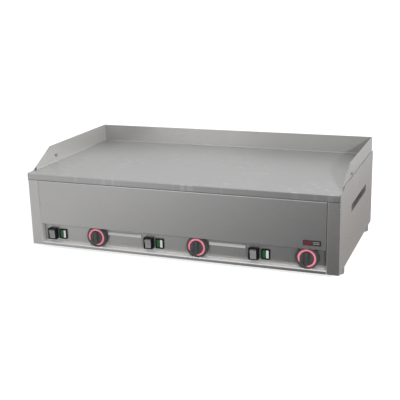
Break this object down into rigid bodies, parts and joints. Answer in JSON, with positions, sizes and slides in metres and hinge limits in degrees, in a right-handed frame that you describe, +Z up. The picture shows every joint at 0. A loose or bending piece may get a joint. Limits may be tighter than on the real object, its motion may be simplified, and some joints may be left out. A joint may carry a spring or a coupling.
{
  "type": "electric flat top griddle",
  "caption": "Table-top electric griddle: wide smooth cooking plate with low splash guard, recessed knobs, rocker switches, pilot lights, drip drawers, rubber feet.",
  "frame": {"origin": "on the floor, under the middle of the whole part", "axes": "+X to the right seen from the front, +Y to the rear, +Z up; the controls face -Y"},
  "size_m": [0.99, 0.5432, 0.3155],
  "materials": {
    "plate": "ground and lightly polished",
    "splash": "satin",
    "casing": "satin",
    "side": "satin",
    "zinc": "zinc plated",
    "element": "heat-darkened sheath",
    "insulation": "fibre board",
    "ceramic": "pale moulded body",
    "knob": "satin black moulding",
    "ring": "red-pink inlay",
    "black_plastic": "black moulding",
    "rocker": "grey moulding",
    "green_lens": "translucent green",
    "clear_lens": "translucent white",
    "brass": "plain",
    "harness": "silicone-sleeved wires",
    "badge": "plain dark plate",
    "rubber": "matt black"
  },
  "bodies": {
    "casing": {"griddle_plate": "plate", "splash_guard": "splash", "side_panel_left": "side", "side_panel_right": "side", "grip_pocket_left": "zinc", "grip_pocket_right": "zinc", "front_fascia": "casing", "control_panel": "casing", "rear_panel": "casing", "base_pan": "zinc", "plate_rails": "zinc", "heating_element_1": "element", "heating_element_2": "element", "heating_element_3": "element", "element_clamps": "zinc", "clamp_studs": "zinc", "clamp_nuts": "zinc", "insulation_boards": "insulation", "heat_shield": "zinc", "thermostat_1": "ceramic", "thermostat_2": "ceramic", "thermostat_3": "ceramic", "safety_limiter_1": "ceramic", "safety_limiter_2": "ceramic", "safety_limiter_3": "ceramic", "switch_housing_1": "black_plastic", "switch_housing_2": "black_plastic", "switch_housing_3": "black_plastic", "pilot_housing_1": "black_plastic", "pilot_housing_2": "black_plastic", "pilot_housing_3": "black_plastic", "pilot_green_lenses": "green_lens", "pilot_clear_lenses": "clear_lens", "drawer_guide_1": "zinc", "drawer_guide_2": "zinc", "terminal_block": "ceramic", "cable_gland": "black_plastic", "gland_locknut": "black_plastic", "bonding_stud": "brass", "wiring_harness": "harness", "badge": "badge", "rubber_feet": "rubber", "foot_bolts": "zinc", "splash_bolts": "zinc", "body_screws": "zinc"},
    "dial_1": {"knob_1": "knob", "knob_ring_1": "ring", "thermostat_shaft_1": "zinc"},
    "rocker_1": {"switch_rocker_1": "rocker"},
    "dial_2": {"knob_2": "knob", "knob_ring_2": "ring", "thermostat_shaft_2": "zinc"},
    "rocker_2": {"switch_rocker_2": "rocker"},
    "dial_3": {"knob_3": "knob", "knob_ring_3": "ring", "thermostat_shaft_3": "zinc"},
    "rocker_3": {"switch_rocker_3": "rocker"},
    "drawer_1": {"drip_drawer_1": "casing"},
    "drawer_2": {"drip_drawer_2": "casing"}
  },
  "joints": [
    {"name": "knob_1_turn", "type": "hinge", "parent": "casing", "child": "dial_1", "pos_m": [-0.2669, -0.2496, 0.0654], "axis": [0, 1, 0], "range_deg": [0, 280]},
    {"name": "knob_2_turn", "type": "hinge", "parent": "casing", "child": "dial_2", "pos_m": [0.0671, -0.2496, 0.0654], "axis": [0, 1, 0], "range_deg": [0, 280]},
    {"name": "knob_3_turn", "type": "hinge", "parent": "casing", "child": "dial_3", "pos_m": [0.4011, -0.2496, 0.0654], "axis": [0, 1, 0], "range_deg": [0, 280]},
    {"name": "rocker_1_tip", "type": "hinge", "parent": "casing", "child": "rocker_1", "pos_m": [-0.4261, -0.2551, 0.061], "axis": [-1, 0, 0], "range_deg": [0, 18]},
    {"name": "rocker_2_tip", "type": "hinge", "parent": "casing", "child": "rocker_2", "pos_m": [-0.0921, -0.2551, 0.061], "axis": [-1, 0, 0], "range_deg": [0, 18]},
    {"name": "rocker_3_tip", "type": "hinge", "parent": "casing", "child": "rocker_3", "pos_m": [0.2419, -0.2551, 0.061], "axis": [-1, 0, 0], "range_deg": [0, 18]},
    {"name": "drawer_1_slide", "type": "slide", "parent": "casing", "child": "drawer_1", "axis": [0, -1, 0], "range_m": [0, 0.23]},
    {"name": "drawer_2_slide", "type": "slide", "parent": "casing", "child": "drawer_2", "axis": [0, -1, 0], "range_m": [0, 0.23]}
  ]
}
